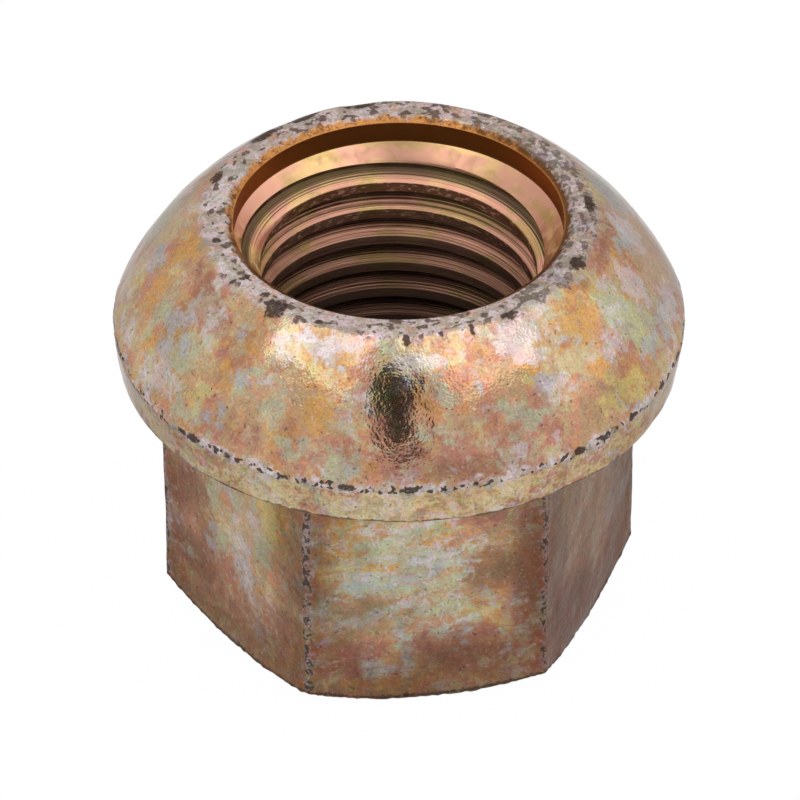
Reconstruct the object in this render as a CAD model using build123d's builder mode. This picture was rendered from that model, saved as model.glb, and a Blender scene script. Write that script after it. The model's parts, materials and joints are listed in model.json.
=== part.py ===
from build123d import *
import math
import os

os.makedirs("parts", exist_ok=True)

# Open-ended ball-seat lug nut: one forged, turned and tapped piece of steel.
# It stands on the end of its hexagon, with the ball seat up.
# The origin is the middle of the base and +Z runs up the thread. Lengths are in millimetres.

# Whole nut
nut_height = 20.2

# Hexagon, with worn corners
across_flats = 18.7
corner_edge_radius = 0.25

# Base of the hexagon: a round land just inside the flats, then a shallow chamfer over the corners
base_land_inset = 0.08
base_chamfer_angle = 28.0

# Ball seat, and the flat ring that ends it
seat_radius = 14.0
ring_width = 1.0
ring_edge_radius = 0.15

# Collar under the seat, a little smaller than the seat's full sphere
collar_inset = 1.13
collar_band_height = 1.93
collar_draft = 5.5
collar_foot_radius = 0.4
underside_slope = 12.0

# Thread M14 x 1.5
thread_diameter = 14.0
thread_pitch = 1.5
thread_flank_angle = 30.0

# Bore mouth at the seat: chamfer, counterbore and lead-in cone
counterbore_clearance = 0.38
counterbore_depth = 1.26
mouth_chamfer_width = 0.34
mouth_chamfer_depth = 0.24
lead_in_angle = 42.0

# Bore mouth at the base
countersink_clearance = 0.4
countersink_angle = 45.0


def slope(degrees):
    """Run for each millimetre of rise on a line at this angle."""
    return math.tan(math.radians(degrees))


def seat_height(radius):
    """Height of the ball seat at a distance from the axis."""
    return seat_centre_z + math.sqrt(seat_radius**2 - radius**2)


# Radii that follow from the sizes above
base_land_radius = across_flats / 2 - base_land_inset
minor_radius = thread_diameter / 2 - 5 / 8 * thread_pitch * math.cos(math.radians(thread_flank_angle))
counterbore_radius = thread_diameter / 2 + counterbore_clearance
countersink_radius = thread_diameter / 2 + countersink_clearance
mouth_radius = counterbore_radius + mouth_chamfer_width
ring_radius = mouth_radius + ring_width
collar_radius = seat_radius - collar_inset
foot_radius = collar_radius - collar_band_height * slope(collar_draft)
seat_middle_radius = (ring_radius + collar_radius) / 2

# Heights that follow from them
seat_centre_z = nut_height - math.sqrt(seat_radius**2 - ring_radius**2)
collar_top_z = seat_height(collar_radius)
foot_z = collar_top_z - collar_band_height
base_cone_radius = base_land_radius + foot_z / slope(base_chamfer_angle)
counterbore_z = nut_height - counterbore_depth
lead_in_z = counterbore_z - (counterbore_radius - minor_radius) / slope(lead_in_angle)
countersink_z = (countersink_radius - minor_radius) / slope(countersink_angle)

with BuildPart() as lug_nut:
    # Hexagon
    with BuildSketch(Plane.XY):
        RegularPolygon(across_flats / 2, 6, major_radius=False)
    extrude(amount=foot_z)
    fillet(lug_nut.edges().filter_by(Axis.Z), corner_edge_radius)

    # The corners of its base are turned back on a shallow cone
    with BuildSketch(Plane.XZ):
        with BuildLine():
            Polyline(
                (0, 0),
                (base_land_radius, 0),
                (base_cone_radius, foot_z),
                (0, foot_z),
                close=True,
            )
        make_face()
    revolve(axis=Axis.Z, mode=Mode.INTERSECT)

    # Collar and ball seat, with the collar's foot and the ring's edge rounded
    with BuildSketch(Plane.XZ) as head:
        with BuildLine():
            Polyline(
                (collar_radius, collar_top_z),
                (foot_radius, foot_z),
                (0, foot_z - foot_radius * slope(underside_slope)),
                (0, nut_height),
                (ring_radius, nut_height),
            )
            ThreePointArc(
                (ring_radius, nut_height),
                (seat_middle_radius, seat_height(seat_middle_radius)),
                (collar_radius, collar_top_z),
            )
        make_face()
        fillet(head.vertices().sort_by_distance((foot_radius, foot_z))[0], collar_foot_radius)
        fillet(head.vertices().sort_by_distance((ring_radius, nut_height))[0], ring_edge_radius)
    revolve(axis=Axis.Z)

    # Bore, at the thread's minor radius between its two mouths
    with BuildSketch(Plane.XZ):
        with BuildLine():
            Polyline(
                (0, 0),
                (countersink_radius, 0),
                (minor_radius, countersink_z),
                (minor_radius, lead_in_z),
                (counterbore_radius, counterbore_z),
                (counterbore_radius, nut_height - mouth_chamfer_depth),
                (mouth_radius, nut_height),
                (0, nut_height),
                close=True,
            )
        make_face()
    revolve(axis=Axis.Z, mode=Mode.SUBTRACT)

lug_nut.part.label = "lug_nut"
export_step(lug_nut.part, "parts/lug_nut.step")
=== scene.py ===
import bpy
import json
import math
import random
from types import SimpleNamespace
import numpy as np
from mathutils import Matrix, Vector


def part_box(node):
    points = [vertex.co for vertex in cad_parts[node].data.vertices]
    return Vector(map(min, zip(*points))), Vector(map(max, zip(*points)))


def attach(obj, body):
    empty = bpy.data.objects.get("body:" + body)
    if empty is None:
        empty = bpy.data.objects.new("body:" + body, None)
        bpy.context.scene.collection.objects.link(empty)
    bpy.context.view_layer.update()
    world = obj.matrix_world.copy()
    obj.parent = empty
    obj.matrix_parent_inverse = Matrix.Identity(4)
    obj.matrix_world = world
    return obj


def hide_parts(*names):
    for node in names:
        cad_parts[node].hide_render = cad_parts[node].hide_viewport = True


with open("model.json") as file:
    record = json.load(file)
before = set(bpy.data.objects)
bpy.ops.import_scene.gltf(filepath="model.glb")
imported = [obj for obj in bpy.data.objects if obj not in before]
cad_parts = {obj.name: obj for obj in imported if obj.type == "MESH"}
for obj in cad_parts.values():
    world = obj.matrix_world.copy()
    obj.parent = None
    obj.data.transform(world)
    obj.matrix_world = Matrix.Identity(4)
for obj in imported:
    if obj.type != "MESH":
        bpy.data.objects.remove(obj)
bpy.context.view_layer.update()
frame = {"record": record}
nutLow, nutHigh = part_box("lug_nut")
mm = 0.001
print("frame loaded, nut is", round((nutHigh.z - nutLow.z) / mm, 2), "mm high")

scene = bpy.context.scene
scene.view_settings.view_transform = "Standard"


class Wire:  # a socket in a node tree that can stand in a sum
    def __init__(self, tree, socket):
        self.tree, self.socket = tree, socket

    def __add__(self, other):
        return maths("ADD", self, other)

    def __radd__(self, other):
        return maths("ADD", other, self)

    def __sub__(self, other):
        return maths("SUBTRACT", self, other)

    def __rsub__(self, other):
        return maths("SUBTRACT", other, self)

    def __mul__(self, other):
        return maths("MULTIPLY", self, other)

    def __rmul__(self, other):
        return maths("MULTIPLY", other, self)

    def __truediv__(self, other):
        return maths("DIVIDE", self, other)

    def __gt__(self, other):
        return maths("GREATER_THAN", self, other)

    def __abs__(self):
        return maths("ABSOLUTE", self)


def treeOf(values):
    return next(value.tree for value in values if isinstance(value, Wire))


def plug(tree, socket, value):  # a number goes on the socket itself, a wire is linked
    if isinstance(value, Wire):
        tree.links.new(value.socket, socket)
    else:
        socket.default_value = value


def addNode(tree, kind, inputs=None, out=0, **settings):
    node = tree.nodes.new(kind)
    for name, value in settings.items():
        setattr(node, name, value)
    for name, value in (inputs or {}).items():
        plug(tree, node.inputs[name], value)
    return Wire(tree, node.outputs[out])


def maths(operation, *values):
    tree = treeOf(values)
    node = tree.nodes.new("ShaderNodeMath")
    node.operation = operation
    for socket, value in zip(node.inputs, values):
        plug(tree, socket, value)
    return Wire(tree, node.outputs[0])


def ramp(value, low, high, to=(0.0, 1.0)):  # smooth step from low to high
    inputs = {"Value": value, "From Min": low, "From Max": high, "To Min": to[0], "To Max": to[1]}
    return addNode(value.tree, "ShaderNodeMapRange", inputs, interpolation_type="SMOOTHSTEP")


def blendTo(share, start, end):
    inputs = {"Value": share, "To Min": start, "To Max": end}
    return addNode(share.tree, "ShaderNodeMapRange", inputs, clamp=False)


def sway(value, strength):  # a noise about its middle, this strong
    return (value - 0.5) * strength


def vector(x, y, z):
    return addNode(treeOf((x, y, z)), "ShaderNodeCombineXYZ", {"X": x, "Y": y, "Z": z})


def split(place):
    node = place.tree.nodes.new("ShaderNodeSeparateXYZ")
    plug(place.tree, node.inputs[0], place)
    return [Wire(place.tree, socket) for socket in node.outputs]


def shifted(place, offset):
    return addNode(place.tree, "ShaderNodeVectorMath", {0: place, 1: offset}, operation="ADD")


def scaled(place, factors):
    return addNode(place.tree, "ShaderNodeVectorMath", {0: place, 1: factors}, operation="MULTIPLY")


def noise(place, scale, detail, roughness, out=0):
    inputs = {"Vector": place, "Scale": scale, "Detail": detail, "Roughness": roughness}
    return addNode(place.tree, "ShaderNodeTexNoise", inputs, out=out, noise_dimensions="3D")


nut = {
    "columns": 360,
    "height": (nutHigh.z - nutLow.z) / mm,
    "collarRadius": (nutHigh.x - nutLow.x) / 2 / mm,
    "acrossFlats": 18.76,
    "cornerRadius": 10.81,  # to the worn corner edge
    "cornerBlend": 0.06,
    "cornerCrowd": 0.6,  # how much closer the columns stand at the corners
    "baseLandRadius": 9.22,
    "baseConeAngle": 28.0,  # from the end face
    "baseConeShift": 0.2,  # the base was turned a little off centre
    "baseConeShiftAngle": -119.0,
    "baseBreak": 0.07,
    "baseBlend": 0.1,
    "seatRadius": 14.0,
    "seatEdgeBreak": 0.06,
    "ringRadius": 8.72,
    "ringEdge": 0.15,
    "bandHeight": 1.98,
    "bandDraft": 5.5,
    "footRound": 0.18,
    "undersideSlope": 12.0,
    "mouthRadius": 7.72,
    "mouthDepth": 0.24,
    "counterboreRadius": 7.38,
    "counterboreDepth": 1.26,
    "countersinkRadius": 7.4,
    "sharpAngle": 28.0,
    "weld": 0.012,
}
nut["seatCentre"] = nut["height"] - math.sqrt(nut["seatRadius"] ** 2 - nut["ringRadius"] ** 2)
nut["bandTop"] = nut["seatCentre"] + math.sqrt(nut["seatRadius"] ** 2 - nut["collarRadius"] ** 2)
nut["bandFoot"] = nut["bandTop"] - nut["bandHeight"]
nut["footRadius"] = nut["collarRadius"] - nut["bandHeight"] * math.tan(math.radians(nut["bandDraft"]))
nut["counterboreZ"] = nut["height"] - nut["counterboreDepth"]
nut["mouthZ"] = nut["height"] - nut["mouthDepth"]

steps = {  # rows of the section on each stretch of it
    "base": 6,
    "chamfer": 5,
    "flats": 50,
    "underside": 5,
    "foot": 5,
    "band": 8,
    "seat": (1, 3, 29),  # close together at its edge
    "ring": 6,
    "mouth": 2,
    "counterbore": 4,
    "crest": 2,
    "flank": 3,
    "root": 1,
}

thread = {
    "minorRadius": frame["record"]["mounts"][0]["dims"]["r_mm"],
    "majorRadius": 7.0,
    "pitch": 1.5,
    "crest": 0.45,
    "root": 0.15,
    "turns": 16,
    "firstCrestDepth": 3.2,  # lower edge of a crest below the top, at firstCrestAngle
    "firstCrestAngle": 82.755,
    "leadInAngle": 42.0,
    "leadInBlend": 0.05,
    "countersinkAngle": 45.0,
}

wear = {
    "amount": 1.0,
    "forging": 0.16,  # mm, slow waves left by the forging
    "dents": 0.05,
    "baseBurr": 0.16,
    "chipDepth": 0.05,
    "waveNoise": (0.35, 1.0, 0.5),  # scale for each mm, detail and roughness
    "dentNoise": (1.5, 2.0, 0.5),
    "burrNoise": (3.1, 1.0, 0.5),
}
front = -97.245  # degrees round Z to the side that faces the camera; patches and lamps count from it
farGap = 9.0  # stands for "not near this edge" in the attributes cornerGap and baseGap


def evenly(start, end, count):  # count steps from start to end, without the start
    return [start + (end - start) * (i + 1) / count for i in range(count)]


def line(start, end, count):
    return list(zip(evenly(start[0], end[0], count), evenly(start[1], end[1], count)))


def arc(centre, radius, fromAngle, toAngle, count):
    angles = [math.radians(a) for a in evenly(fromAngle, toAngle, count)]
    return [(centre[0] + radius * math.cos(a), centre[1] + radius * math.sin(a)) for a in angles]


def collarFoot():  # where the underside ends and the round at the collar's foot begins, and its centre
    draft, slope = math.radians(nut["bandDraft"]), math.radians(nut["undersideSlope"])
    turn = math.pi / 2 - slope + draft  # corner angle, inside the metal
    tangent = nut["footRound"] / math.tan(turn / 2)
    start = (nut["footRadius"] - tangent * math.cos(slope), nut["bandFoot"] - tangent * math.sin(slope))
    centre = (start[0] - nut["footRound"] * math.sin(slope), start[1] + nut["footRound"] * math.cos(slope))
    return start, centre


def nutSection():
    # rows of (station, along, radius, height) from the countersink's rim, round the outside, to the
    # counterbore's floor; stations 0 to 3 bend with the hexagon, station 4 is plainly turned
    rows = [(0, 0.0, 0.0, 0.0)]
    for station, stretch in enumerate(("base", "chamfer", "flats", "underside")):
        rows += [(station, along, 0.0, 0.0) for along in evenly(0, 1, steps[stretch])]

    centre = collarFoot()[1]
    points = arc(centre, nut["footRound"], nut["undersideSlope"] - 90, -nut["bandDraft"], steps["foot"])
    edge = nut["seatEdgeBreak"]
    points += line(points[-1], (nut["collarRadius"] - edge * 0.1, nut["bandTop"] - edge), steps["band"])
    edgeAngle = math.degrees(math.acos(nut["collarRadius"] / nut["seatRadius"]))
    ringAngle = math.degrees(math.acos((nut["ringRadius"] + nut["ringEdge"] * 0.4) / nut["seatRadius"]))
    stops = (edgeAngle, edgeAngle + 0.25, edgeAngle + 1.6, ringAngle)
    for fromAngle, toAngle, count in zip(stops, stops[1:], steps["seat"]):
        points += arc((0.0, nut["seatCentre"]), nut["seatRadius"], fromAngle, toAngle, count)
    # two points round the ring's outer edge, then the ring, the mouth's chamfer and the counterbore
    points.append((nut["ringRadius"] - nut["ringEdge"] * 0.1, nut["height"] - nut["ringEdge"] * 0.12))
    points.append((nut["ringRadius"] - nut["ringEdge"] * 0.6, nut["height"]))
    points += line(points[-1], (nut["mouthRadius"], nut["height"]), steps["ring"])
    points += line(points[-1], (nut["counterboreRadius"], nut["mouthZ"]), steps["mouth"])
    points += line(points[-1], (nut["counterboreRadius"], nut["counterboreZ"]), steps["counterbore"])
    return rows + [(4, 0.0, radius, z) for radius, z in points]


def threadSection():
    # rows of (radius, rise) over one pitch, from a crest's lower edge up to the next one's
    flank = (thread["pitch"] - thread["crest"] - thread["root"]) / 2
    inner, outer = thread["minorRadius"], thread["majorRadius"]
    corners = [(inner, 0.0), (inner, thread["crest"]), (outer, thread["crest"] + flank),
               (outer, thread["crest"] + flank + thread["root"]), (inner, thread["pitch"])]
    rows = [corners[0]]
    for start, end, stretch in zip(corners, corners[1:], ("crest", "flank", "root", "flank")):
        rows += line(start, end, steps[stretch])
    return rows


def rimDistance(z, radius):  # from the edge between the seat and the collar
    across, up = radius - nut["collarRadius"], z - nut["bandTop"]
    return maths("SQRT", across * across + up * up)


def linked(name, data):
    made = bpy.data.objects.new(name, data)
    scene.collection.objects.link(made)
    return made


def sectionObject(name, rows, fields):  # a chain of points that carry the section's numbers as attributes
    mesh = bpy.data.meshes.new(name)
    count = len(rows)
    mesh.from_pydata([(i * mm, 0, 0) for i in range(count)], [(i, i + 1) for i in range(count - 1)], [])
    for label, values in zip(fields, zip(*rows)):
        mesh.attributes.new(label, "FLOAT", "POINT").data.foreach_set("value", values)
    return linked(name, mesh)


def newTree(name, sockets):
    tree = bpy.data.node_groups.new(name, "GeometryNodeTree")
    tree.interface.new_socket("Geometry", in_out="OUTPUT", socket_type="NodeSocketGeometry")
    tree.interface.new_socket("Geometry", in_out="INPUT", socket_type="NodeSocketGeometry")
    ids = {}
    for label, (kind, _) in sockets.items():
        made = tree.interface.new_socket(label, in_out="INPUT", socket_type="NodeSocket" + kind)
        ids[label] = made.identifier
    group = tree.nodes.new("NodeGroupInput")
    return tree, {socket.name: Wire(tree, socket) for socket in group.outputs}, ids


def field(tree, name):
    return addNode(tree, "GeometryNodeInputNamedAttribute", {"Name": name}, data_type="FLOAT")


def store(geometry, name, value):
    inputs = {"Geometry": geometry, "Name": name, "Value": value}
    kinds = {"data_type": "FLOAT", "domain": "POINT"}
    return addNode(geometry.tree, "GeometryNodeStoreNamedAttribute", inputs, **kinds)


def choose(index, *values):
    tree = index.tree
    node = tree.nodes.new("GeometryNodeIndexSwitch")
    node.data_type = "FLOAT"
    while len(node.index_switch_items) < len(values):
        node.index_switch_items.new()
    for socket, value in zip(node.inputs, (index, *values)):
        plug(tree, socket, value)
    return Wire(tree, node.outputs[0])


def sweep(section, count, cyclic):
    # carries the section along a path whose points are numbered by "step"; the path's own size goes unused
    tree, size = section.tree, 10 * mm
    if cyclic:
        circle = {"Resolution": count, "Radius": size}
        path = addNode(tree, "GeometryNodeCurvePrimitiveCircle", circle, mode="RADIUS")
    else:
        straight = addNode(tree, "GeometryNodeCurvePrimitiveLine", {"End": (0, size, 0)})
        path = addNode(tree, "GeometryNodeResampleCurve", {"Curve": straight, "Count": count})
    path = store(path, "step", addNode(tree, "GeometryNodeInputIndex"))
    curve = addNode(tree, "GeometryNodeMeshToCurve", {"Mesh": section})
    return addNode(tree, "GeometryNodeCurveToMesh", {"Curve": path, "Profile Curve": curve})


def polar(geometry, angle, radius, height):
    place = vector(radius * maths("COSINE", angle) * mm, radius * maths("SINE", angle) * mm, height * mm)
    return addNode(geometry.tree, "GeometryNodeSetPosition", {"Geometry": geometry, "Position": place})


def buildOutside(tree, given):
    columns = given["Columns"]
    outer = sweep(given["Geometry"], columns, True)
    turn = field(tree, "step") / columns
    station, along = field(tree, "station"), field(tree, "along")
    reach, level = field(tree, "reach"), field(tree, "level")
    even = turn * 2 * math.pi  # evenly spaced columns, drawn together towards the corners next
    crowd = choose(station, along, 1.0, 1.0, 1.0 - along, 0.0) * given["Corner Crowd"] / 6
    angle = even - crowd * maths("SINE", even * 6)
    sixth = maths("WRAP", angle, math.pi / 6, -math.pi / 6)  # 0 at a corner
    flat = given["Across Flats"] / 2 / maths("COSINE", math.pi / 6 - abs(sixth))
    hexRadius = maths("SMOOTH_MIN", flat, given["Corner Radius"], nut["cornerBlend"])
    shift = nut["baseConeShift"] * maths("COSINE", angle - math.radians(nut["baseConeShiftAngle"]))
    beyond = hexRadius - shift - nut["baseLandRadius"]
    beyond = maths("SMOOTH_MAX", beyond, nut["baseBreak"], nut["baseBlend"])
    coneTop = beyond * math.tan(math.radians(nut["baseConeAngle"]))
    underEnd, underZ = collarFoot()[0]
    rootZ = underZ - (underEnd - hexRadius) * math.tan(math.radians(nut["undersideSlope"]))

    # each station runs from its start to its end, and from its lower height to its higher one
    starts = choose(station, nut["countersinkRadius"], hexRadius - beyond, hexRadius, hexRadius, reach)
    ends = choose(station, hexRadius - beyond, hexRadius, hexRadius, underEnd, reach)
    lows = choose(station, 0.0, 0.0, coneTop, rootZ, level)
    highs = choose(station, 0.0, coneTop, rootZ, underZ, level)
    height = blendTo(along, lows, highs)
    outer = polar(outer, angle, blendTo(along, starts, ends), height)
    outer = addNode(tree, "GeometryNodeFlipFaces", {"Mesh": outer})
    side = maths("COMPARE", station, 2.0, 0.5)
    outer = store(outer, "cornerGap", blendTo(side, farGap, abs(sixth) * hexRadius))
    aboveCone = height - coneTop
    return store(outer, "baseGap", choose(station, aboveCone, aboveCone, aboveCone, farGap, farGap))


def wearOutside(tree, given, outer):  # the skin wanders a little, and the base's edge is ragged
    place = scaled(addNode(tree, "GeometryNodeInputPosition"), (1 / mm,) * 3)
    x, y, z = split(place)
    radius = maths("SQRT", x * x + y * y)
    skin = ramp(z, 0.1, 0.7) * ramp(radius, nut["mouthRadius"] + 0.05, nut["mouthRadius"] + 0.5)
    waves = sway(noise(place, *wear["waveNoise"]), wear["forging"])
    dents = sway(noise(place, *wear["dentNoise"]), wear["dents"])
    burr = sway(noise(place, *wear["burrNoise"]), wear["baseBurr"])
    burr = burr * ramp(abs(field(tree, "baseGap")), 0.25, 0.0)
    burr = burr * ramp(radius, nut["baseLandRadius"] - 0.8, nut["baseLandRadius"] - 0.3)
    depth = ((waves + dents) * skin + burr) * given["Wear"] * mm
    push = {0: addNode(tree, "GeometryNodeInputNormal"), "Scale": depth}
    push = addNode(tree, "ShaderNodeVectorMath", push, operation="SCALE")
    return addNode(tree, "GeometryNodeSetPosition", {"Geometry": outer, "Offset": push})


def buildThread(tree, given):
    # a helix clipped between the base and the counterbore, where its spare turns fold onto the end rings
    columns = given["Columns"]
    section = addNode(tree, "GeometryNodeObjectInfo", {"Object": given["Thread Section"]}, out="Geometry")
    inner = sweep(section, columns * thread["turns"] + 1, False)
    around = field(tree, "step") / columns
    reach = field(tree, "reach")
    first = nut["height"] - thread["firstCrestDepth"] - thread["firstCrestAngle"] / 360 * thread["pitch"]
    first -= math.ceil(first / thread["pitch"] + 1) * thread["pitch"]
    rawZ = first + given["Pitch"] * around + field(tree, "rise")
    z = maths("MINIMUM", maths("MAXIMUM", rawZ, 0.0), nut["counterboreZ"])
    leadInSlope = math.tan(math.radians(thread["leadInAngle"]))
    leadIn = nut["counterboreRadius"] - (nut["counterboreZ"] - z) * leadInSlope
    sink = nut["countersinkRadius"] - z * math.tan(math.radians(thread["countersinkAngle"]))
    bored = maths("SMOOTH_MAX", maths("MAXIMUM", reach, sink), leadIn, thread["leadInBlend"])
    inner = polar(inner, around * 2 * math.pi, bored, z)
    return store(inner, "groove", ramp(reach - leadIn, -thread["leadInBlend"], thread["leadInBlend"]))


def weld(tree, material, *parts):  # into one closed mesh, smooth but for its sharp edges
    join = tree.nodes.new("GeometryNodeJoinGeometry")
    for part in parts:
        plug(tree, join.inputs[0], part)
    whole = {"Geometry": Wire(tree, join.outputs[0]), "Distance": nut["weld"] * mm}
    whole = addNode(tree, "GeometryNodeMergeByDistance", whole)
    sharp = addNode(tree, "GeometryNodeInputMeshEdgeAngle") > math.radians(nut["sharpAngle"])
    smooth = {"Geometry": whole, "Shade Smooth": True}
    whole = addNode(tree, "GeometryNodeSetShadeSmooth", smooth, domain="FACE")
    edges = {"Geometry": whole, "Selection": sharp, "Shade Smooth": False}
    whole = addNode(tree, "GeometryNodeSetShadeSmooth", edges, domain="EDGE")
    whole = addNode(tree, "GeometryNodeRealizeInstances", {"Geometry": whole})
    whole = addNode(tree, "GeometryNodeSetMaterial", {"Geometry": whole, "Material": material})
    plug(tree, tree.nodes.new("NodeGroupOutput").inputs[0], whole)


def buildNut(material):
    shell = sectionObject("outerSection", nutSection(), ("station", "along", "reach", "level"))
    bore = sectionObject("threadSection", threadSection(), ("reach", "rise"))
    settings = {
        "Thread Section": ("Object", bore),
        "Material": ("Material", material),
        "Columns": ("Int", nut["columns"]),
        "Across Flats": ("Float", nut["acrossFlats"]),
        "Corner Radius": ("Float", nut["cornerRadius"]),
        "Corner Crowd": ("Float", nut["cornerCrowd"]),
        "Pitch": ("Float", thread["pitch"]),
        "Wear": ("Float", wear["amount"]),
    }
    tree, given, ids = newTree("lugNutShape", settings)
    outer = wearOutside(tree, given, buildOutside(tree, given))
    weld(tree, given["Material"], outer, buildThread(tree, given))

    modifier = shell.modifiers.new("lugNutShape", "NODES")
    modifier.node_group = tree
    for label, (_, value) in settings.items():
        modifier[ids[label]] = value
    bpy.context.view_layer.update()
    made = bpy.data.meshes.new_from_object(shell.evaluated_get(bpy.context.evaluated_depsgraph_get()))
    made.name = "lugNutFinish"
    piece = linked("lugNutFinish", made)
    bpy.data.objects.remove(shell)
    bpy.data.objects.remove(bore)
    print("nut shaped,", sum(len(face.vertices) - 2 for face in made.polygons), "triangles")
    return piece


palette = {  # the colours of worn yellow chromate over zinc, each channel from 0 to 255
    "tan": (198, 160, 122),
    "salmon": (204, 150, 122),
    "gold": (212, 162, 92),
    "straw": (212, 192, 122),
    "rose": (182, 124, 108),
    "brown": (148, 108, 86),
    "haze": (190, 172, 150),
    "mint": (182, 192, 164),
    "skyGrey": (176, 182, 188),
    "lavender": (212, 202, 206),
    "zinc": (180, 168, 158),
    "chip": (64, 48, 39),
    "ringChip": (98, 80, 68),
    # painted shade beside the flats' corners
    "shadeBrown": (150, 92, 60),
    "rosyBrown": (150, 98, 74),
    "taupe": (156, 128, 90),
    "boreWall": (186, 118, 55),
    "toolMark": (70, 62, 40),
    "boreGold": (244, 202, 144),
    "boreRose": (238, 178, 152),
    "boreOlive": (204, 176, 112),
    # crest and deepBrown darken the thread further down: painted shade
    "crest": (96, 62, 34),
    "deepBrown": (56, 37, 28),
    "mouthBrown": (84, 54, 30),
    "mouthGold": (192, 134, 80),
    # scale on the base, its darkness partly painted shade
    "scale": (122, 106, 98),
    "olive": (176, 150, 108),
    "paleStraw": (240, 214, 158),
}


def linear(name):
    channels = [c / 255 for c in palette[name]]
    return tuple(c / 12.92 if c < 0.04045 else ((c + 0.055) / 1.055) ** 2.4 for c in channels) + (1.0,)


# patches of each tint on the seat: azimuth from the front in degrees, elevation on the ball in degrees,
# half width and half height in mm, and its tilt in degrees if it has one
seatPatches = {
    "gold": [(-82, 47, 1.2, 0.8, 10), (-77, 39, 0.5, 1.6), (-68, 31.5, 1.2, 0.5), (-41, 37.5, 1.1, 0.7),
             (-44, 43, 1.6, 0.5), (9, 46.5, 0.6, 0.9), (32, 40.5, 0.5, 0.6), (48, 45.5, 1.8, 1.4),
             (51, 35, 0.9, 0.5), (-25, 30, 0.9, 0.5), (-57, 47, 1.2, 0.4), (-18, 36, 0.8, 0.9),
             (58, 30, 0.8, 1.0), (80, 46, 1.2, 0.6)],
    "straw": [(-96, 43, 1.0, 1.0), (-22, 44.5, 0.5, 0.3), (63, 46, 1.0, 0.8), (66, 36, 0.9, 1.6),
              (51, 29, 1.1, 0.8), (57, 27, 0.7, 0.8), (-47, 30, 0.7, 0.8), (34, 39, 0.5, 0.4),
              (-88, 33, 1.0, 1.0)],
    "rose": [(-58, 45.5, 2.2, 0.9, -22), (-43, 40, 1.2, 0.3), (-33, 28.5, 0.9, 0.8), (12, 29, 1.0, 1.2),
             (24, 28, 1.2, 1.3), (33, 31, 0.7, 1.6, 12), (1, 28, 1.2, 0.8), (-8, 44, 0.6, 1.2),
             (-12, 30, 0.9, 0.8), (75, 49, 1.8, 0.4), (20, 36, 0.6, 0.8), (88, 45, 1.6, 0.6)],
    "brown": [(-59, 46, 1.6, 0.55, -22), (20, 26, 1.6, 0.6), (8, 26.5, 1.0, 0.5), (88, 49, 1.8, 0.4),
              (-30, 43, 0.6, 0.3)],
    "mint": [(-53, 36, 0.35, 1.4), (-57, 34, 0.6, 0.9), (-38, 36, 0.35, 0.5), (-28, 36, 0.35, 0.9, 8),
             (-22, 27.3, 0.5, 0.28), (10, 39.5, 0.45, 0.55), (26, 34, 0.9, 0.5, -25), (30, 32, 0.7, 0.5),
             (66, 38, 0.8, 1.5), (71, 33, 0.6, 1.0), (63, 42, 0.7, 0.8), (-4, 49, 0.3, 0.35),
             (-48, 26.5, 0.8, 0.3), (-70, 36, 0.5, 0.8)],
    "sky": [(-60.5, 41.2, 0.35, 0.35), (-65, 38, 0.4, 0.6), (-63, 34, 0.7, 0.6), (19, 39.5, 0.15, 0.7, 6),
            (36, 37.5, 0.6, 0.5), (-38.5, 36.8, 0.35, 0.3), (68, 31, 0.8, 0.5), (-88, 39, 0.8, 0.5)],
    # the pale patches at azimuths 84 and 94 lighten the seat's right limb: partly film colour, partly
    # painted reflection; the pale one at (-14, 48.5) is a painted highlight
    "pale": [(-58, 29, 0.9, 0.7), (33, 47, 1.2, 0.9), (34, 43.5, 0.8, 0.4), (-14, 48.5, 1.0, 0.3),
             (57, 37, 0.8, 0.6), (76, 41, 0.8, 1.2), (40, 36, 0.6, 0.5), (94, 43, 0.9, 1.2),
             (84, 30, 1.2, 0.8)],
    # the grey patches at azimuths -100, 98 and 82 grey the seat's limbs: partly film colour, partly painted
    # reflection
    "grey": [(-100, 38, 2.4, 3.0), (98, 38, 2.4, 3.0), (82, 33, 1.8, 1.6), (-85, 28, 2.2, 0.8),
             (72, 27, 1.2, 0.6), (-72, 42, 0.3, 1.0)],
}

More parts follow.
